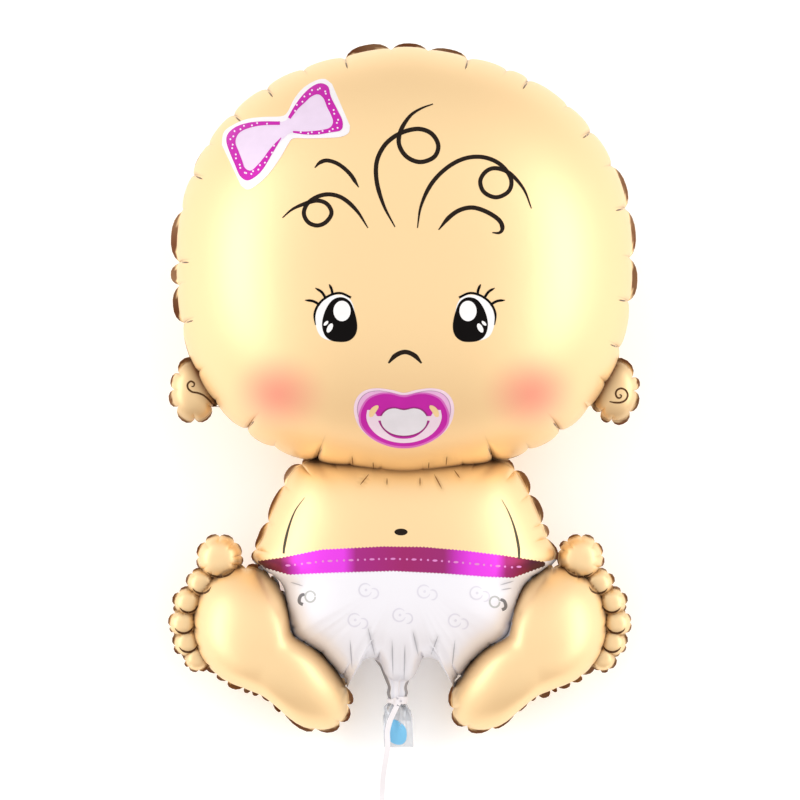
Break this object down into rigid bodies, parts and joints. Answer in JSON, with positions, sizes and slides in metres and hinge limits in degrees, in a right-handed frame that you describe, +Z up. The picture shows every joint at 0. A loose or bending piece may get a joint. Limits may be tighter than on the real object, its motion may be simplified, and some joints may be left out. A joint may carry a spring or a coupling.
{
  "type": "foil balloon",
  "caption": "Inflated foil balloon in the shape of a sitting baby with a large round head, lying on its back, tied at the tail with a curling ribbon.",
  "frame": {"origin": "on the floor under the middle of the balloon's bounding box, the ribbon's free end left out", "axes": "+Y from the feet to the head, +X to the right of the printed face as the camera sees it, +Z up; the balloon lies on its back with its face up"},
  "size_m": [0.5314, 0.9149, 0.3238],
  "materials": {
    "printed_foil": "metallised film printed in skin colours, satin sheen",
    "curling_ribbon": "pale pink polypropylene curling ribbon, soft gloss"
  },
  "bodies": {
    "root": {"foil_envelope": "printed_foil", "ribbon_knot": "curling_ribbon", "ribbon": "curling_ribbon", "ribbon_coil": "curling_ribbon"}
  },
  "joints": []
}
